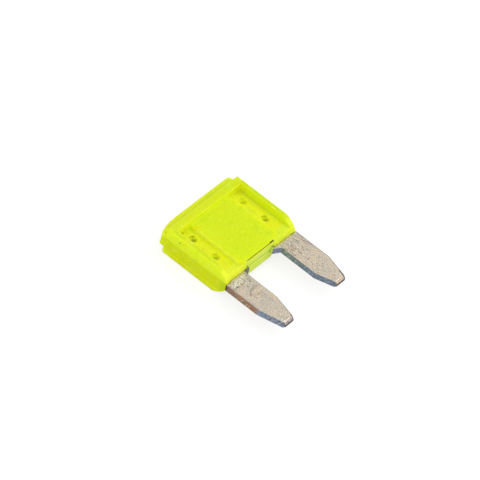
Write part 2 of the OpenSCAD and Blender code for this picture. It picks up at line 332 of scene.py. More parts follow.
class Paint:
    """Builds one material, layer over layer. Places and sizes are the model's own millimetres."""

    def __init__(self, name, colour, noises):
        self.material = bpy.data.materials.new(name)
        self.material.use_nodes = True
        self.tree = self.material.node_tree
        self.shader = self.tree.nodes["Principled BSDF"]
        coordinates = self.add("ShaderNodeTexCoord")
        self.place = self.vector("SCALE", coordinates.outputs["Object"], scale=1 / MM)
        self.x, self.y, self.z = self.parts(self.place)
        self.nx, self.ny, self.nz = self.parts(coordinates.outputs["Normal"])
        self.colour = colour
        shaken = self.vector("SUBTRACT", self.noise(RAGGED_SIZE, detail=3, colour=True), (0.5, 0.5, 0.5))
        self.ragged = self.vector("ADD", self.place, self.vector("SCALE", shaken, scale=RAGGED_REACH))
        self.noises = {kind: self.noise(**settings) for kind, settings in noises.items()}

    def add(self, kind, **settings):
        node = self.tree.nodes.new(kind)
        for name, value in settings.items():
            setattr(node, name, value)
        return node

    def feed(self, socket, value):
        if isinstance(value, bpy.types.NodeSocket):
            self.tree.links.new(value, socket)
        else:
            socket.default_value = value

    def vector(self, operation, a, b=None, scale=None):
        node = self.add("ShaderNodeVectorMath", operation=operation)
        self.feed(node.inputs[0], a)
        if b is not None:
            self.feed(node.inputs[1], b)
        if scale is not None:
            self.feed(node.inputs["Scale"], scale)
        return node.outputs["Value" if operation == "LENGTH" else "Vector"]

    def parts(self, vector):
        node = self.add("ShaderNodeSeparateXYZ")
        self.feed(node.inputs[0], vector)
        return node.outputs

    def maths(self, operation, a, b=0.0):
        node = self.add("ShaderNodeMath", operation=operation)
        self.feed(node.inputs[0], a)
        self.feed(node.inputs[1], b)
        return node.outputs[0]

    def size_of(self, value):
        return self.maths("ABSOLUTE", value)

    def stored(self, name):
        """A number that the mesh holds at each of its points."""
        return self.add("ShaderNodeAttribute", attribute_name=name).outputs["Fac"]

    def rise(self, value, start, end):
        """0 at start and before it, 1 at end and past it; end may be the lower one."""
        node = self.add("ShaderNodeMapRange", interpolation_type="SMOOTHSTEP")
        self.feed(node.inputs["Value"], value)
        node.inputs["From Min"].default_value = min(start, end)
        node.inputs["From Max"].default_value = max(start, end)
        node.inputs["To Min"].default_value = 0 if start < end else 1
        node.inputs["To Max"].default_value = 1 if start < end else 0
        return node.outputs[0]

    def between(self, value, low, high, soft):
        return self.both(self.rise(value, low - soft, low + soft), self.rise(value, high + soft, high - soft))

    def both(self, first, *others):
        for other in others:
            first = self.maths("MULTIPLY", first, other)
        return first

    def unless(self, mask):
        return self.maths("SUBTRACT", 1.0, mask)

    def mapped(self, place, at, turn, size):
        """A place as seen from a frame that stands at a place, turned and scaled."""
        node = self.add("ShaderNodeMapping", vector_type="TEXTURE")
        self.feed(node.inputs["Vector"], place)
        node.inputs["Location"].default_value = at
        node.inputs["Rotation"].default_value = turn
        node.inputs["Scale"].default_value = size
        return node.outputs[0]

    def noise(self, size, detail, stretch=(1, 1, 1), turn=(0, 0, 0), shift=0, colour=False):
        """Cloudy noise round 0.5, with features of this size that are drawn out by stretch and turned."""
        turned = [math.radians(angle) for angle in turn]
        grid = self.mapped(self.place, (shift, shift, shift), turned, [size * s for s in stretch])
        node = self.add("ShaderNodeTexNoise")
        self.feed(node.inputs["Vector"], grid)
        node.inputs["Scale"].default_value = 1
        node.inputs["Detail"].default_value = detail
        return node.outputs["Color" if colour else "Fac"]

    def blob(self, at, size, angle=0, soft=0.5, clean=False):
        """1 inside an ellipsoid with half axes size, turned about Z, with a ragged or a clean outline."""
        place = self.place if clean else self.ragged
        round_it = self.mapped(place, at, (0, 0, math.radians(angle)), size)
        return self.rise(self.vector("LENGTH", round_it), 1, 1 - soft)

    def stroke(self, start, end, width):
        """1 along a scratch from one place to another, and 0 off it."""
        middle = [(a + b) / 2 for a, b in zip(start, end)]
        angle = math.degrees(math.atan2(end[1] - start[1], end[0] - start[0]))
        size = (math.dist(start, end) / 2, width / 2, SCRATCH_DEPTH)
        return self.blob(middle, size, angle, SCRATCH_SOFT)

    def bar(self, start, end, width, depth):
        """1 along a clean straight line of even width from one place to another, and 0 off it."""
        middle = [(a + b) / 2 for a, b in zip(start, end)]
        turn = (Vector(end) - Vector(start)).to_track_quat("X", "Z").to_euler()
        size = (math.dist(start, end) / 2, width / 2, depth)
        along, beside, above = self.parts(self.mapped(self.place, middle, turn, size))
        sides = [self.rise(self.size_of(v), 1, BAR_FULL_ACROSS) for v in (beside, above)]
        return self.both(self.rise(self.size_of(along), 1, BAR_FULL_ALONG), *sides)

    def lines(self, noise):
        """Thin wandering lines: where a noise passes through its middle value."""
        return self.between(self.noises[noise], *LINE_NOISE, soft=LINE_NOISE_SOFT)

    def over(self, colour, mask, amount=1):
        """Lays a colour over what is there, where the mask is 1."""
        node = self.add("ShaderNodeMixRGB")
        self.feed(node.inputs["Fac"], mask if amount == 1 else self.maths("MULTIPLY", mask, amount))
        self.feed(node.inputs["Color1"], self.colour)
        self.feed(node.inputs["Color2"], colour)
        self.colour = node.outputs[0]

    def speckle(self, layers, *within):
        """Lays colours where a noise is high or low: each layer has colour, noise, ramp and strength."""
        for colour, noise, ramp, strength in layers:
            self.over(colour, self.both(self.rise(self.noises[noise], *ramp), *within), strength)

    def finish(self, height, depth):
        """Ends the material: its colour, and bumps of the given depth in millimetres."""
        self.feed(self.shader.inputs["Base Color"], self.colour)
        bump = self.add("ShaderNodeBump")
        bump.inputs["Distance"].default_value = depth * MM
        self.feed(bump.inputs["Height"], height)
        self.feed(self.shader.inputs["Normal"], bump.outputs[0])
        return self.material


# The plastic: its shader's values, and its bumps in millimetres
PLASTIC_ROUGHNESS = 0.45
PLASTIC_SPECULAR = 0.12
PLASTIC_SUBSURFACE_RADIUS = (1, 1, 0.12)
PLASTIC_SUBSURFACE_SCALE = 0.8 * MM
PLASTIC_BUMP = 0.004

# The plastic's colours
CROWN_YELLOW = srgb(213, 226, 24)
CROWN_GREEN = srgb(200, 226, 30)
RIDGE_YELLOW = srgb(224, 238, 44)
BLOCK_YELLOW = srgb(216, 234, 14)
# Painted light: the bands over the metal legs are brighter, lit by the light the metal behind them throws
# back
LIT_BAND_YELLOW = srgb(236, 249, 20)
WALL_YELLOW = srgb(224, 228, 14)
RIGHT_WALL = srgb(216, 230, 26)
LEFT_RIM = srgb(200, 220, 26)
RIGHT_RIM = srgb(190, 214, 16)
# Painted light and shade on the sides: lit above the metal inside, painted shade below its top, lighter again
# at the bottom
SIDE_LIT_YELLOW = srgb(228, 250, 36)
SIDE_SHADED_YELLOW = srgb(218, 232, 4)
SIDE_LOW = srgb(230, 246, 12)
LIT_LEFT_MOUTH = srgb(231, 255, 54)
LIT_RIGHT_MOUTH = srgb(220, 244, 48)
WALL_TOP_HIGHLIGHT = srgb(236, 255, 62)
WALL_MIDDLE = srgb(226, 255, 78)
WALL_PATCH = srgb(244, 250, 140)
SLIT_LIGHT = srgb(216, 255, 110)
CORNER_LIGHT = srgb(234, 255, 24)
CORNER_LIT = srgb(232, 236, 20)
CORNER_SHADE = srgb(210, 212, 4)
PALE = srgb(236, 246, 110)
DEEP = srgb(190, 208, 4)
TAN_SHADE = srgb(196, 184, 30)
TAN_LINE = srgb(206, 196, 90)
ORANGE_TINT = srgb(232, 218, 4)
GREEN_SHADE = srgb(176, 214, 20)
OLIVE = srgb(136, 142, 8)
DARK_OLIVE = srgb(70, 76, 8)

# Ramps over the housing, in millimetres: where each begins and where it is full
RIGHT_X = (0, 0.2)
FIELD_X = (RIM_X + 0.05, RIM_X - 0.05)
FIELD_Y = (CREASE_Y + 0.05, CREASE_Y - 0.05)
FIELD_RISE = (RIM_RISE - 0.02, RIM_RISE - 0.12)
BLOCK_SIDE_X = (BLOCK_X + 0.04, BLOCK_X - 0.04)
BLOCK_TOP_RISE = (1.15, 1.25)
WALL_RISE = (0.9, 1.05)
RIGHT_WALL_X = (4.6, 4.7)
RIM_TOP_RISE = (1.55, 1.75)
RIM_SIDE_X = (RIM_X, RIM_X + 0.1)
RIM_END_Y = (6.6, 6.3)
SIDE_X = (5.15, 5.3)
SIDE_LOW_Z = (0.85, 0.65)
SIDE_END_Y = (0.3, -0.6)
SIDE_END_Z = (2.4, 2.1)
MOUTH_END_Y = (0.5, -0.2)
MOUTH_END_RISE = (RIM_RISE - 0.2, RIM_RISE - 0.4)
GREEN_CROWN_X = (1.5, 5.0)
CROWN_Y = (6.2, 6.4)
RIDGE_Y = (7.2, 7.4)
STREAKED_X = (3.2, 3.8)
FOOT_X = (4.0, 4.75)
FOOT_Y = (1.5, 4.5)
RIGHT_RIM_X = (5.25, 4.9)
BY_BLOCK_Y = (2, 4)
BLOCK_EDGE_Y = (5.7, 5.3)
MOUTH_WALL_X = (STEP_X + 0.1, STEP_X)
MOUTH_WALL_Y = (LINE_Y + 0.03, LINE_Y - 0.02)
WALL_HIGHLIGHT_Z = (2.75, 2.95)
PATCHED_Z = (2.8, 2.5)
SLIT_X = (2.4, 2.3)
SLIT_START_Y = (LINE_Y - 0.1, LINE_Y)
SLIT_END_Y = (1.5, 1.0)
SUNKEN_RISE = (BAND_RISE - 0.02, BAND_RISE - 0.08)
SUNKEN_Y = (0.5, 0.8)

# Stretches between two places, in millimetres, and how softly each begins and ends
SIDE_SHADE_Z = (0.75, 2.22)
SIDE_SHADE_SOFT = 0.1
BY_BLOCK_X = (-3.35, -2.95)
BY_BLOCK_SOFT = 0.12
BLOCK_EDGE_X = (-3.0, -2.9)
BLOCK_EDGE_SOFT = 0.04
SLIT_Z = (1.5, 2.15)
SLIT_SOFT = 0.05

# How much a surface has to face along an axis, and how near an inner edge it has to be, in millimetres
FACING = (0.5, 0.8)
NEAR_CORNER = (0.35, 0.05)
AT_CORNER = (0.1, 0.02)

# The moulding's noises, and what is laid by them: colour, noise, where in its range, and strength
PLASTIC_NOISES = {
    "cloud": {"size": 1.3, "detail": 2},
    "streaks": {"size": 0.12, "detail": 2, "stretch": (1, 9, 1), "turn": (0, 0, -8)},
    "grain": {"size": 0.17, "detail": 3, "shift": 7},
    "patches": {"size": 0.6, "detail": 3, "stretch": (1, 1, 2), "turn": (0, 30, 0), "shift": 3},
}
PLASTIC_CLOUDS = (
    (ORANGE_TINT, "cloud", (0.55, 0.8), 0.35),
    (GREEN_SHADE, "cloud", (0.45, 0.2), 0.35),
)
PLASTIC_STREAKS = (
    (PALE, "streaks", (0.52, 0.75), 0.45),
    (DEEP, "streaks", (0.46, 0.25), 0.25),
)
PLASTIC_GRAIN = (
    (PALE, "grain", (0.54, 0.75), 0.5),
    (DEEP, "grain", (0.46, 0.25), 0.45),
)
MOUTH_PATCHES = ((WALL_PATCH, "patches", (0.5, 0.65), 0.6),)
MOUTH_SHADES = ((GREEN_SHADE, "patches", (0.45, 0.3), 0.35),)

# Soft patches of painted shade in the moulding's corners and by the block's front: colour, place, half sizes,
# softness and strength
PAINTED_SHADE_PATCHES = {
    "field's right corner": (CORNER_SHADE, (4.5, 6.1, 3.2), (1.4, 1.1, 0.9), 0.95, 0.7),
    "field's left corner": (ORANGE_TINT, (-3.79, 6.05, 2.8), (0.4, 0.3, 0.4), 0.8, 0.6),
    "block's left corner": (ORANGE_TINT, (-2.74, 5.53, 3.1), (0.4, 0.3, 0.4), 0.8, 0.6),
    "block's front": (GREEN_SHADE, (2.3, 0.3, 3.1), (0.6, 0.5, 0.4), 0.9, 0.4),
}
# Painted light in the field's right corner: place and half sizes
CORNER_LIT_AT = (4.87, 6.2, 3.0)
CORNER_LIT_SIZE = (0.6, 0.6, 0.8)

# What lies along the mouth wall's top edge: the dark line, and its thicker end of painted shade, with start,
# end, width and strength; spots of painted shade at its ends, with colour, place, half sizes and strength;
# and a painted highlight at its left end
DARK_LINES = {
    "whole": (LINE_START, LINE_END, 0.13, 0.8),
    # The thick end is painted shade in the gap at the right corner
    "thick end": ((1.4, LINE_Y, LINE_Z), (2.05, LINE_Y - 0.02, LINE_Z), 0.22, 1),
}
DARK_LINE_DEPTH = 0.12
MOUTH_SHADE_SPOTS = {
    "right end": (DARK_OLIVE, (2.42, -0.86, 2.36), (0.1, 0.1, 0.1), 0.9),
    "left end": (OLIVE, (-2.3, -0.86, 2.3), (0.22, 0.1, 0.2), 0.8),
}
EDGE_HIGHLIGHT_START = (-2.3, -0.86, 3.0)
EDGE_HIGHLIGHT_END = (-2.3, -0.66, 2.6)
EDGE_HIGHLIGHT_WIDTH = 0.12
EDGE_HIGHLIGHT_DEPTH = 0.3

# The stake dimples, with place and darkness of their painted shade, and what each has: a bowl, dark strokes
# of painted shade from one place to another with a width, and a painted glint, all placed from the dimple's
# middle
DIMPLES = {
    "upper left": (-DIMPLE_X, HIGH_DIMPLE_Y, 0.9),
    "lower left": (-DIMPLE_X, LOW_DIMPLE_Y, 0.6),
    "upper right": (DIMPLE_X, HIGH_DIMPLE_Y, 0.4),
    "lower right": (DIMPLE_X, LOW_DIMPLE_Y, 0.8),
}
BOWL_Z = 2.6
BOWL_SIZE = (0.42, 0.42, 0.4)
DIMPLE_STROKES = (
    ((-0.2, 0.42), (0.16, 0.4), 0.12),
    ((0.12, 0.42), (0.36, 0.2), 0.14),
    ((-0.1, 0.14), (0.2, -0.12), 0.16),
)
STROKE_Z = 2.7
STROKE_DEPTH = 0.4
GLINT_OFFSET = (0.42, -0.1)
GLINT_Z = 2.8
GLINT_SIZE = (0.07, 0.26, 0.3)

# Specks of dirt in the moulding: place and radius
PLASTIC_SPECKS = {
    "crown corner": ((-4.14, 6.12, 2.8), 0.12),
    "left side": ((-5.4, 5.4, 2.95), 0.1),
    "left band, middle": ((-4.15, 3.39, 2.8), 0.08),
    "left band, by the wall": ((-4.62, 3.07, 2.8), 0.08),
    "left band, low": ((-4.52, 1.23, 2.8), 0.1),
    "right rim, top": ((5.0, 6.42, 3.6), 0.07),
    "right rim, middle": ((4.98, 4.11, 3.6), 0.07),
    "right rim, low": ((4.98, 1.6, 3.6), 0.06),
}
SPECK_DEPTH = 0.3


def housing_masks(paint):
    """Where the housing's parts lie."""
    on = SimpleNamespace()
    on.wide = paint.size_of(paint.x)
    on.rise = paint.size_of(paint.maths("SUBTRACT", paint.z, MIDDLE_Z))
    on.outward = paint.rise(paint.size_of(paint.nz), *FACING)
    on.right = paint.rise(paint.x, *RIGHT_X)
    on.inner = paint.stored("inner_edge")
    on.field = paint.both(
        paint.rise(on.wide, *FIELD_X),
        paint.rise(paint.y, *FIELD_Y),
        paint.rise(on.rise, *FIELD_RISE),
    )
    on.block = paint.both(on.field, paint.rise(on.wide, *BLOCK_SIDE_X), paint.rise(on.rise, *BLOCK_TOP_RISE))
    on.off_block = paint.unless(on.block)
    on.bands = paint.both(on.field, on.outward, on.off_block)
    high = paint.rise(on.rise, *WALL_RISE)
    on.walls = paint.both(on.field, paint.unless(on.outward), high)
    on.right_wall = paint.both(on.field, paint.rise(paint.x, *RIGHT_WALL_X), high)
    on.rims = paint.both(
        paint.rise(on.rise, *RIM_TOP_RISE),
        paint.rise(on.wide, *RIM_SIDE_X),
        paint.rise(paint.y, *RIM_END_Y),
    )
    on.sides = paint.both(paint.rise(paint.size_of(paint.nx), *FACING), paint.rise(on.wide, *SIDE_X))
    on.mouth_end = paint.both(
        paint.rise(paint.y, *MOUTH_END_Y),
        paint.rise(on.rise, *MOUTH_END_RISE),
        on.off_block,
    )
    on.mouth_wall = paint.both(paint.rise(on.wide, *MOUTH_WALL_X), paint.rise(paint.y, *MOUTH_WALL_Y))
    return on


def paint_fields(paint, on):
    """Gives each large field of the housing its own yellow, with painted light and shade: brighter bands over
    the legs and brighter mouth ends, and painted shade on the sides below the metal.
    """
    green_crown = paint.both(paint.rise(paint.x, *GREEN_CROWN_X), paint.rise(paint.y, *CROWN_Y))
    paint.over(CROWN_GREEN, green_crown, amount=0.6)
    paint.over(RIDGE_YELLOW, paint.rise(paint.y, *RIDGE_Y), amount=0.45)
    paint.over(BLOCK_YELLOW, on.block)
    # Painted light: the bands over the legs are lit brighter by the metal behind them
    paint.over(LIT_BAND_YELLOW, on.bands)
    paint.over(WALL_YELLOW, on.walls)
    paint.over(LEFT_RIM, on.rims)
    paint.over(RIGHT_RIM, paint.both(on.rims, on.right))
    # Painted light and shade on the sides: lit above, painted shade from the metal's top down, lighter again
    # at the bottom
    paint.over(SIDE_LIT_YELLOW, on.sides)
    shaded_half = paint.between(paint.z, *SIDE_SHADE_Z, soft=SIDE_SHADE_SOFT)
    paint.over(SIDE_SHADED_YELLOW, paint.both(on.sides, shaded_half))
    paint.over(SIDE_LOW, paint.both(on.sides, paint.rise(paint.z, *SIDE_LOW_Z)))
    side_end = paint.both(on.sides, paint.rise(paint.y, *SIDE_END_Y), paint.rise(paint.z, *SIDE_END_Z))
    paint.over(GREEN_SHADE, side_end, amount=0.5)
    # Painted light: the mouth's ends are brightened against the shade on their slopes
    paint.over(LIT_LEFT_MOUTH, paint.both(on.mouth_end, paint.unless(on.sides)))
    paint.over(LIT_RIGHT_MOUTH, paint.both(on.mouth_end, on.right))


def paint_moulding(paint, on):
    """Clouds, drawn-out streaks and grain in the moulding."""
    paint.speckle(PLASTIC_CLOUDS)
    paint.speckle(PLASTIC_STREAKS, paint.rise(on.wide, *STREAKED_X), on.off_block)
    paint.speckle(PLASTIC_GRAIN)


def paint_corners(paint, on):
    """Lines along edges, painted shade in corners, on the right rim and by the block, painted light near
    inner edges and in the right corner, and a painted highlight along the block's left edge.
    """
    # Painted light near the inner edges, against the shade in the corners
    paint.over(CORNER_LIGHT, paint.both(paint.rise(on.inner, *NEAR_CORNER), on.field), amount=0.35)
    paint.over(RIGHT_WALL, on.right_wall)
    foot = paint.both(on.bands, on.right, paint.rise(paint.y, *FOOT_Y), paint.rise(paint.x, *FOOT_X))
    paint.over(TAN_SHADE, foot, amount=0.2)
    paint.over(TAN_LINE, paint.both(paint.rise(on.inner, *AT_CORNER), on.right_wall), amount=0.35)
    paint.over(CORNER_SHADE, paint.both(on.rims, on.right, paint.rise(paint.x, *RIGHT_RIM_X)), amount=0.4)
    by_block = paint.between(paint.x, *BY_BLOCK_X, soft=BY_BLOCK_SOFT)
    paint.over(TAN_SHADE, paint.both(on.bands, by_block, paint.rise(paint.y, *BY_BLOCK_Y)), amount=0.12)
    # Painted highlight along the block's left top edge
    block_edge_highlight = paint.between(paint.x, *BLOCK_EDGE_X, soft=BLOCK_EDGE_SOFT)
    paint.over(PALE, paint.both(block_edge_highlight, on.field, paint.rise(paint.y, *BLOCK_EDGE_Y)), amount=0.4)
    # Painted shade in the corners and by the block's front
    for colour, at, size, soft, strength in PAINTED_SHADE_PATCHES.values():
        paint.over(colour, paint.blob(at, size, soft=soft), strength)
    # Painted light that lifts the shade in the right corner
    paint.over(CORNER_LIT, paint.blob(CORNER_LIT_AT, CORNER_LIT_SIZE, soft=0.95, clean=True), amount=0.8)


def paint_mouth(paint, on):
    """The mouth's wall between the blades with a painted highlight along its top, the slit in it with painted
    light, and what lies along the wall's top edge.
    """
    paint.over(WALL_MIDDLE, on.mouth_wall)
    # Painted highlight along the wall's rounded top edge
    paint.over(WALL_TOP_HIGHLIGHT, paint.both(on.mouth_wall, paint.rise(paint.z, *WALL_HIGHLIGHT_Z)))
    paint.speckle(MOUTH_PATCHES, on.mouth_wall, paint.rise(paint.z, *PATCHED_Z))
    paint.speckle(MOUTH_SHADES, on.mouth_wall)
    # Painted light in the slit, against the shade inside it
    slit = paint.both(
        paint.rise(on.wide, *SLIT_X),
        paint.rise(paint.y, *SLIT_START_Y),
        paint.rise(paint.y, *SLIT_END_Y),
        paint.between(paint.z, *SLIT_Z, soft=SLIT_SOFT),
    )
    paint.over(SLIT_LIGHT, slit)
    for start, end, width, strength in DARK_LINES.values():
        paint.over(DARK_OLIVE, paint.bar(start, end, width, DARK_LINE_DEPTH), strength)
    # Spots of painted shade at the line's ends
    for colour, at, size, strength in MOUTH_SHADE_SPOTS.values():
        paint.over(colour, paint.blob(at, size), strength)
    # Painted highlight on the edge at the left end
    edge_highlight = paint.bar(EDGE_HIGHLIGHT_START, EDGE_HIGHLIGHT_END, EDGE_HIGHLIGHT_WIDTH, EDGE_HIGHLIGHT_DEPTH)
    paint.over(PALE, edge_highlight, amount=0.7)


def paint_dimples(paint, on):
    """The stake dimples: a bowl in painted light and painted shade, dark strokes of painted shade over its
    far rim and a painted highlight opposite.
    """
    sunken = paint.both(on.field, paint.rise(on.rise, *SUNKEN_RISE), paint.rise(paint.y, *SUNKEN_Y))
    # Painted light in the sunken floors and dimples, against their shade
    paint.over(LIT_BAND_YELLOW, sunken)
    for x, y, dark in DIMPLES.values():
        bowl = paint.blob((x, y, BOWL_Z), BOWL_SIZE)
        # Painted light, then painted shade, in each bowl
        paint.over(LIT_BAND_YELLOW, bowl, amount=0.8)
        paint.over(OLIVE, bowl, amount=0.4 * dark)
        # Strokes of painted shade over the far rim
        for start, end, width in DIMPLE_STROKES:
            a, b = ((x + dx, y + dy, STROKE_Z) for dx, dy in (start, end))
            paint.over(DARK_OLIVE, paint.bar(a, b, width, STROKE_DEPTH), amount=0.62 * dark)
        # Painted glint opposite
        dx, dy = GLINT_OFFSET
        paint.over(PALE, paint.blob((x + dx, y + dy, GLINT_Z), GLINT_SIZE, soft=0.8), amount=0.5)


def paint_dirt(paint):
    for at, radius in PLASTIC_SPECKS.values():
        paint.over(OLIVE, paint.blob(at, (radius, radius, SPECK_DEPTH)), amount=0.65)


def plastic():
    """Translucent yellow moulding, with painted light where it is thin, and painted shade in its corners and
    low on its sides.
    """
    paint = Paint("plastic", CROWN_YELLOW, PLASTIC_NOISES)
    shader = paint.shader
    shader.inputs["Roughness"].default_value = PLASTIC_ROUGHNESS
    shader.inputs["Specular IOR Level"].default_value = PLASTIC_SPECULAR
    shader.inputs["Subsurface Weight"].default_value = 1.0
    shader.inputs["Subsurface Radius"].default_value = PLASTIC_SUBSURFACE_RADIUS
    shader.inputs["Subsurface Scale"].default_value = PLASTIC_SUBSURFACE_SCALE
    on = housing_masks(paint)
    paint_fields(paint, on)
    paint_moulding(paint, on)
    paint_corners(paint, on)
    paint_mouth(paint, on)
    paint_dimples(paint, on)
    paint_dirt(paint)
    return paint.finish(paint.noises["grain"], PLASTIC_BUMP)


# The metal: its roughness, and its bumps in millimetres
METAL_ROUGHNESS = 0.5
METAL_BUMP = 0.012

# The metal's colours
TAN = srgb(200, 188, 168)
WARM = srgb(214, 194, 166)
GREY = srgb(178, 175, 168)
LILAC = srgb(176, 168, 176)
CREAM = srgb(238, 236, 212)
PALE_GREEN = srgb(196, 200, 180)
PINK = srgb(212, 178, 160)
ORANGE = srgb(214, 178, 136)
SCUFF_AND_EDGE_SHADE = srgb(104, 98, 90)
SPECK = srgb(240, 236, 224)
BROWN_EDGE = srgb(158, 130, 108)
RED_BROWN = srgb(166, 116, 86)
TEAL_EDGE = srgb(124, 142, 138)
STEEL_EDGE = srgb(120, 134, 150)
BLUE_EDGE = srgb(134, 146, 162)
PAINTED_HOUSING_LIGHT = srgb(214, 216, 110)
LINK_LIGHT = srgb(232, 250, 150)
STUB_FACE_SHADE = srgb(96, 104, 122)
STUB_EDGE = srgb(130, 134, 162)
PLAIN_EDGE = srgb(150, 142, 134)
OLIVE_EDGE = srgb(120, 124, 84)
DARK_EDGE = srgb(52, 46, 44)
GLINT_WHITE = srgb(252, 250, 244)

# Ramps over the element, in millimetres: where each begins and where it is full
LEFT_X = (0.1, -0.1)
FAR_SIDE_X = (0.1, 0.4)
NEAR_SIDE_X = (-0.1, -0.4)
STUB_X = (BLADE_INNER_X - 0.03, BLADE_INNER_X - 0.1)
STUB_SHADE_X = (-2.75, -2.6)
HOUSING_LIGHT_Y = (MOUTH_Y - 0.3, MOUTH_Y)
RUBBED_Y = (-4.0, -2.6)
SCRIBBLED_Y = (-2.4, -1.7)
STEEL_Y = (-2.6, -5.2)
START_SHADE_Y = (-2.8, -1.2)
END_SHADE_Y = (-7.3, -8.1)
LINK_START_Y = (-0.94, -0.88)
LINK_END_Y = (2.0, 1.0)
PAST_KNEE = (0.05, -0.1)
BROWN_LINE_Y = (-5.6, -5.0)
BEVEL_SLANT_X = (3.7, 4.7)
PAST_BEVEL = (0.02, -0.04)
TIP_RIM = (TIP_X - 0.2, TIP_X - 0.12)
RIGHT_TIP_Y = (-6.9, -7.3)
LEFT_TIP_Y = (-7.3, -7.8)
TIP_END_Y = (-8.07, -8.13)

# The painted highlight over each bevel, in millimetres from where the bevel starts, and how softly it ends
BEVEL_HIGHLIGHT = (-0.02, 0.03)
BEVEL_HIGHLIGHT_SOFT = 0.03

# How much a surface has to face up or left, and how near an outer edge it has to be, in millimetres
FACING_UP = (0.45, 0.75)
FACING_LEFT = (-0.2, -0.4)
AT_EDGE = (0.12, 0.03)

# The metal's noises, and what is laid by them: colour, noise, where in its range, and strength
METAL_NOISES = {
    "cloud": {"size": 0.9, "detail": 3},
    "grain": {"size": 0.1, "detail": 3},
    "coarse": {"size": 0.24, "detail": 3, "shift": 5},
    "tint": {"size": 0.3, "detail": 2, "shift": 11},
    "drawn": {"size": 0.07, "detail": 2, "stretch": (1, 9, 1)},
    "scribble": {"size": 0.35, "detail": 2, "shift": 21},
    "hatch": {"size": 0.3, "detail": 2, "shift": 33},
    "shear": {"size": 0.13, "detail": 2, "stretch": (1, 1, 5), "turn": (25, 0, 0)},
    "smear": {"size": 0.35, "detail": 2, "stretch": (1, 2, 1), "shift": 9},
}
METAL_CLOUDS = (
    (WARM, "cloud", (0.5, 0.68), 0.7),
    (GREY, "cloud", (0.5, 0.32), 0.6),
)
METAL_GRAIN = (
    (ORANGE, "tint", (0.55, 0.75), 0.4),
    (LILAC, "tint", (0.45, 0.25), 0.4),
    (SCUFF_AND_EDGE_SHADE, "grain", (0.5, 0.66), 0.6),
    (SCUFF_AND_EDGE_SHADE, "coarse", (0.56, 0.75), 0.4),
    (SPECK, "grain", (0.49, 0.32), 0.65),
)
RUBBED_GRAIN = (
    (SCUFF_AND_EDGE_SHADE, "drawn", (0.5, 0.68), 0.6),
    (SPECK, "drawn", (0.46, 0.3), 0.35),
)
LEFT_EDGE_MOTTLE = (
    (RED_BROWN, "smear", (0.5, 0.65), 0.6),
    (OLIVE_EDGE, "smear", (0.45, 0.3), 0.6),
)
RIGHT_EDGE_MOTTLE = ((OLIVE_EDGE, "smear", (0.5, 0.65), 0.4),)
SHEAR_STREAKS = (
    (DARK_EDGE, "shear", (0.5, 0.72), 0.5),
    (SPECK, "shear", (0.45, 0.25), 0.45),
)
BEVEL_SCUFFS = ((SCUFF_AND_EDGE_SHADE, "coarse", (0.48, 0.6), 0.6),)

# Stains on the blades' faces: colour, place, half length and half width, angle and strength
STAINS = {
    "warm left flank": (WARM, (-4.9, -2.8), (1.0, 0.6), 90, 0.5),
    "cream patch": (CREAM, (-4.3, -1.4), (1.1, 0.5), 0, 0.9),
    "cream, inner": (CREAM, (-3.4, -1.3), (0.7, 0.35), 0, 0.7),
    "pale green, left": (PALE_GREEN, (-3.54, -1.95), (0.5, 0.35), 90, 0.7),
    "grey inner half": (GREY, (-3.4, -4.7), (1.1, 0.6), 90, 0.7),
    "lilac outer edge": (LILAC, (-5.3, -4.3), (1.2, 0.22), 90, 0.6),
    "pink, left": (PINK, (-5.0, -4.5), (0.25, 0.2), 0, 0.6),
    "olive tip, left": (WARM, (-4.1, -7.0), (0.5, 0.3), 0, 0.7),
    "brown start, right": (BROWN_EDGE, (3.5, -2.1), (1.0, 0.55), 90, 0.3),
    "brown slant": (SCUFF_AND_EDGE_SHADE, (3.4, -2.4), (0.65, 0.16), 62, 0.3),
    "brown column": (SCUFF_AND_EDGE_SHADE, (2.92, -2.7), (0.9, 0.13), 90, 0.35),
    "orange, right": (ORANGE, (4.98, -1.9), (0.8, 0.35), 90, 0.5),
    "pink edge, right": (PINK, (5.3, -2.9), (0.7, 0.16), 90, 0.6),
    "olive, right": (OLIVE_EDGE, (3.2, -5.65), (0.35, 0.2), 0, 0.35),
    "orange tip, right": (ORANGE, (3.64, -7.2), (0.3, 0.25), 90, 0.6),
    "olive tip, right": (OLIVE_EDGE, (3.95, -7.25), (0.2, 0.14), 0, 0.5),
    "lilac tip, left": (SPECK, (-4.55, -7.6), (0.35, 0.2), 90, 0.45),
}
STAIN_DEPTH = 0.35

# Where the left blade is hatched with fine lines: place and half sizes
HATCHED_AT = (-3.8, -3.9, TOP_Z)
HATCHED_SIZE = (0.9, 0.6, 0.3)

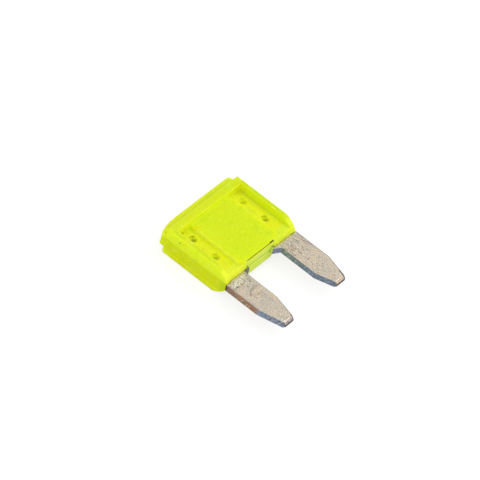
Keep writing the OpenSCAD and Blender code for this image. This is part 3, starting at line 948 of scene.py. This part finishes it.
# Scratches and scuffs on the blades' faces: start, end, width and strength
SCRATCHES = {
    "housing end, a": ((-5.35, -1.25), (-5.15, -1.4), 0.2, 0.6),
    "housing end, b": ((-4.9, -1.3), (-4.7, -1.45), 0.16, 0.5),
    "housing end, c": ((-4.25, -1.2), (-4.05, -1.4), 0.16, 0.7),
    "patch edge": ((-4.95, -1.8), (-4.6, -1.93), 0.16, 0.9),
    "streak a": ((-4.2, -1.7), (-4.15, -2.15), 0.16, 0.85),
    "streak b": ((-3.95, -2.3), (-3.82, -2.6), 0.18, 0.8),
    "streak c": ((-3.3, -2.0), (-3.22, -2.35), 0.16, 0.7),
    "streak d": ((-2.98, -2.3), (-2.85, -2.5), 0.14, 0.6),
    "hook, foot": ((-4.46, -3.5), (-4.2, -3.75), 0.26, 0.35),
    "hook, upright": ((-4.52, -3.1), (-4.46, -3.65), 0.36, 0.42),
    "hook, corner": ((-4.55, -3.3), (-4.1, -2.98), 0.36, 0.42),
    "hook, top": ((-4.35, -3.02), (-3.3, -2.94), 0.36, 0.42),
    "hook, end": ((-3.5, -2.94), (-3.05, -3.02), 0.26, 0.35),
    "second hook": ((-4.6, -3.8), (-4.15, -4.1), 0.16, 0.5),
    "second hook, end": ((-4.1, -3.78), (-3.35, -3.85), 0.13, 0.4),
    "right, dotted": ((4.53, -1.4), (4.53, -2.1), 0.12, 0.65),
    "right, short": ((3.58, -2.72), (3.57, -3.28), 0.15, 0.95),
    "right, upper dark": ((4.36, -2.45), (4.36, -2.95), 0.13, 0.7),
    "right, dark": ((4.4, -3.05), (4.5, -3.48), 0.18, 0.95),
    "right, bridge": ((3.75, -3.02), (4.4, -3.12), 0.13, 0.5),
    "right, level": ((3.3, -4.14), (3.88, -4.13), 0.12, 0.8),
    "right, column a": ((2.82, -1.9), (2.84, -2.15), 0.14, 0.6),
    "right, column b": ((2.9, -2.85), (2.98, -3.1), 0.16, 0.7),
    "slant a": ((3.4, -5.5), (4.1, -4.85), 0.1, 0.4),
    "slant b": ((3.7, -5.95), (4.4, -5.3), 0.1, 0.35),
    "slant c": ((3.1, -5.1), (3.6, -4.65), 0.1, 0.35),
    "orange speck": ((5.15, -1.15), (5.22, -1.35), 0.12, 0.5),
    "tip, left": ((-4.15, -7.6), (-3.75, -7.7), 0.13, 0.5),
}

# Painted glints on the blades' faces: place and half length, and what share of that the half width is
METAL_GLINTS = {
    "patch a": ((-4.75, -1.5), 0.2),
    "patch b": ((-5.05, -1.68), 0.16),
    "cream glint": ((-3.77, -1.28), 0.16),
    "left tip": ((-4.55, -7.8), 0.17),
    "right start": ((3.56, -1.64), 0.1),
    "right, middle": ((3.25, -4.31), 0.08),
    "right, low": ((3.47, -6.72), 0.1),
    "right tip": ((4.3, -7.29), 0.08),
}
METAL_GLINT_WIDTH_SHARE = 0.7
METAL_GLINT_DEPTH = 0.25

# Painted shade at the housing's mouth: where the left blade starts, and the end of the right stub
LEFT_START_SHADE_AT = (-5.45, -1.0, 1.8)
LEFT_START_SHADE_SIZE = (0.4, 0.14, 0.5)
STUB_END_SHADE_AT = (1.92, -0.98, 1.5)
STUB_END_SHADE_SIZE = (0.1, 0.1, 0.14)


def element_masks(paint):
    """Where the element's parts lie, and how far across its blade each place is."""
    on = SimpleNamespace()
    on.flat = paint.rise(paint.size_of(paint.nz), *FACING_UP)
    on.cut = paint.unless(on.flat)
    on.seen_cut = paint.both(on.cut, paint.rise(paint.nx, *FACING_LEFT))
    on.edge = paint.rise(paint.stored("outer_edge"), *AT_EDGE)
    on.left = paint.rise(paint.x, *LEFT_X)
    on.right = paint.unless(on.left)
    blade_middle = paint.maths("MULTIPLY", paint.maths("SIGN", paint.x), BLADE_X)
    on.across = paint.maths("SUBTRACT", paint.x, blade_middle)
    left_knee = paint.maths("MULTIPLY", on.left, LEFT_KNEE_Y)
    right_knee = paint.maths("MULTIPLY", on.right, RIGHT_KNEE_Y)
    from_knee = paint.maths("SUBTRACT", paint.y, paint.maths("ADD", left_knee, right_knee))
    on.past_knee = paint.rise(from_knee, *PAST_KNEE)
    on.left_cut = paint.both(on.seen_cut, on.left, paint.unless(on.past_knee))
    on.right_cut = paint.both(on.seen_cut, on.right, paint.unless(on.past_knee))
    return on


def paint_faces(paint, on):
    """The sheet's faces: clouds, stains, a fine grain, and what is rubbed, scribbled and hatched on them."""
    paint.speckle(METAL_CLOUDS)
    for colour, at, (length, width), angle, strength in STAINS.values():
        stain = paint.blob((*at, TOP_Z), (length, width, STAIN_DEPTH), angle, soft=0.8)
        paint.over(colour, stain, strength)
    paint.speckle(METAL_GRAIN)
    paint.speckle(RUBBED_GRAIN, on.right, on.flat, paint.rise(paint.y, *RUBBED_Y))
    scribbled = paint.both(on.flat, on.left, paint.rise(paint.y, *SCRIBBLED_Y))
    paint.over(SCUFF_AND_EDGE_SHADE, paint.both(scribbled, paint.lines("scribble")), amount=0.75)
    hatched = paint.both(on.flat, on.left, paint.blob(HATCHED_AT, HATCHED_SIZE, soft=0.8))
    paint.over(SCUFF_AND_EDGE_SHADE, paint.both(hatched, paint.lines("hatch")), amount=0.5)


def paint_scratches(paint, on):
    """Scratches, painted glints, and the painted yellow light that the housing casts on the sheet next to it.
    """
    for start, end, width, strength in SCRATCHES.values():
        paint.over(SCUFF_AND_EDGE_SHADE, paint.stroke((*start, TOP_Z), (*end, TOP_Z), width), strength)
    # Painted glints
    for at, radius in METAL_GLINTS.values():
        painted_glint = paint.blob((*at, TOP_Z), (radius, METAL_GLINT_WIDTH_SHARE * radius, METAL_GLINT_DEPTH), soft=0.8)
        paint.over(GLINT_WHITE, painted_glint, amount=0.5)
    # Painted yellow light that the housing throws on the sheet beside it
    paint.over(PAINTED_HOUSING_LIGHT, paint.both(on.flat, paint.rise(paint.y, *HOUSING_LIGHT_Y)), amount=0.5)


def paint_cut_edges(paint, on):
    """The sheared edges in painted shade and reflection: brown on the left blade, teal to steel on the right,
    streaked across the sheet.
    """
    # Painted shade and reflection: the cut edges' colours stand for what they reflect and the shade on them
    paint.over(PLAIN_EDGE, on.cut)
    paint.over(BROWN_EDGE, on.left_cut)
    paint.speckle(LEFT_EDGE_MOTTLE, on.left_cut)
    paint.over(TEAL_EDGE, on.right_cut)
    paint.speckle(RIGHT_EDGE_MOTTLE, on.right_cut)
    paint.over(STEEL_EDGE, paint.both(on.right_cut, paint.rise(paint.y, *STEEL_Y)))
    paint.over(BLUE_EDGE, paint.both(on.seen_cut, on.left, on.past_knee))
    paint.over(STEEL_EDGE, paint.both(on.seen_cut, on.right, on.past_knee))
    paint.over(DARK_EDGE, paint.both(on.left_cut, paint.rise(paint.y, *START_SHADE_Y)), amount=0.2)
    end_shade = paint.both(on.seen_cut, on.past_knee, paint.rise(paint.y, *END_SHADE_Y))
    paint.over(DARK_EDGE, end_shade, amount=0.35)
    paint.over(STUB_EDGE, paint.both(on.cut, paint.rise(paint.size_of(paint.x), *STUB_X)))
    paint.speckle(SHEAR_STREAKS, on.cut)


def paint_mouth_end(paint, on):
    """What lies at the housing's mouth: painted shade at the left blade's start and on the stubs, and painted
    light on the link in its slit.
    """
    # Painted shade where the left blade goes into the housing
    paint.over(DARK_EDGE, paint.blob(LEFT_START_SHADE_AT, LEFT_START_SHADE_SIZE), amount=0.85)
    # Painted shade on the left stub's face inside the mouth
    paint.over(STUB_FACE_SHADE, paint.both(on.flat, on.left, paint.rise(paint.x, *STUB_SHADE_X)), amount=0.8)
    # Painted light on the link's cut edge in the slit, as the yellow plastic round it throws it
    lit_link_edge = paint.both(paint.rise(paint.y, *LINK_START_Y), paint.rise(paint.y, *LINK_END_Y), on.cut)
    paint.over(LINK_LIGHT, lit_link_edge)
    # Painted shade at the end of the right stub
    paint.over(DARK_EDGE, paint.blob(STUB_END_SHADE_AT, STUB_END_SHADE_SIZE), amount=0.8)


def paint_edge_lines(paint, on):
    """Painted shade along the blades' rounded far edges, and a brown line along the left one's near edge."""
    # Painted shade along the rounded far edges
    far_edge_shade = paint.both(on.edge, paint.rise(on.across, *FAR_SIDE_X), on.flat)
    paint.over(SCUFF_AND_EDGE_SHADE, far_edge_shade, amount=0.7)
    near_edge = paint.both(on.edge, paint.rise(on.across, *NEAR_SIDE_X), on.left, on.flat)
    paint.over(BROWN_EDGE, paint.both(near_edge, paint.rise(paint.y, *BROWN_LINE_Y)), amount=0.7)


def paint_tips(paint, on):
    """The bevels in painted reflection with a painted highlight over each, and painted shade on the tips'
    rims and ends.
    """
    slant = paint.maths("MULTIPLY", paint.rise(paint.x, *BEVEL_SLANT_X), BEVEL_SLANT)
    from_bevel = paint.maths("SUBTRACT", paint.maths("SUBTRACT", paint.y, BEVEL_Y), slant)
    bevel = paint.both(on.flat, paint.rise(from_bevel, *PAST_BEVEL))
    # Painted reflection on the bevels' faces
    paint.over(LILAC, paint.both(bevel, on.left), amount=0.8)
    paint.over(TAN, paint.both(bevel, on.right), amount=0.7)
    paint.over(PINK, bevel, amount=0.3)
    paint.speckle(BEVEL_SCUFFS, bevel, on.left)
    # Painted highlight along the top of each bevel
    bevel_highlight = paint.between(from_bevel, *BEVEL_HIGHLIGHT, soft=BEVEL_HIGHLIGHT_SOFT)
    paint.over(GLINT_WHITE, paint.both(bevel_highlight, on.flat), amount=0.5)
    # Painted shade on the tips' rims and ends
    narrowing = paint.maths("MULTIPLY", paint.maths("SUBTRACT", TIP_Y, paint.y), TIP_SLOPE)
    rim = paint.rise(paint.maths("ADD", on.across, narrowing), *TIP_RIM)
    paint.over(DARK_EDGE, paint.both(rim, on.right, paint.rise(paint.y, *RIGHT_TIP_Y)), amount=0.9)
    paint.over(DARK_EDGE, paint.both(rim, on.left, paint.rise(paint.y, *LEFT_TIP_Y)), amount=0.6)
    paint.over(DARK_EDGE, paint.rise(paint.y, *TIP_END_Y), amount=0.8)


def metal():
    """Stamped zinc sheet: grainy tan faces with scuffs, and cut edges in browns, teals and blues of painted
    shade and reflection.
    """
    paint = Paint("metal", TAN, METAL_NOISES)
    paint.shader.inputs["Metallic"].default_value = 1.0
    paint.shader.inputs["Roughness"].default_value = METAL_ROUGHNESS
    on = element_masks(paint)
    paint_faces(paint, on)
    paint_scratches(paint, on)
    paint_cut_edges(paint, on)
    paint_mouth_end(paint, on)
    paint_edge_lines(paint, on)
    paint_tips(paint, on)
    return paint.finish(paint.maths("ADD", paint.noises["grain"], paint.noises["coarse"]), METAL_BUMP)


add_camera()
add_world()
add_floor()
for lamp_name, (lamp_azimuth, lamp_elevation, lamp_power) in LAMPS.items():
    add_lamp(lamp_name, lamp_azimuth, lamp_elevation, lamp_power)
bpy.context.scene.view_settings.view_transform = "Standard"
housing = softened("housing", "soft_housing", HOUSING_VOXEL, HOUSING_SOFTENING)
element = softened("fuse_element", "soft_element", ELEMENT_VOXEL, ELEMENT_SOFTENING)
groove(housing, LINE_START, LINE_END, GROOVE_WIDTH, GROOVE_DEPTH)
for piece, material, slot in ((housing, plastic(), "housing_plastic"), (element, metal(), "element_metal")):
    piece.data.materials.clear()
    piece.data.materials.append(material)
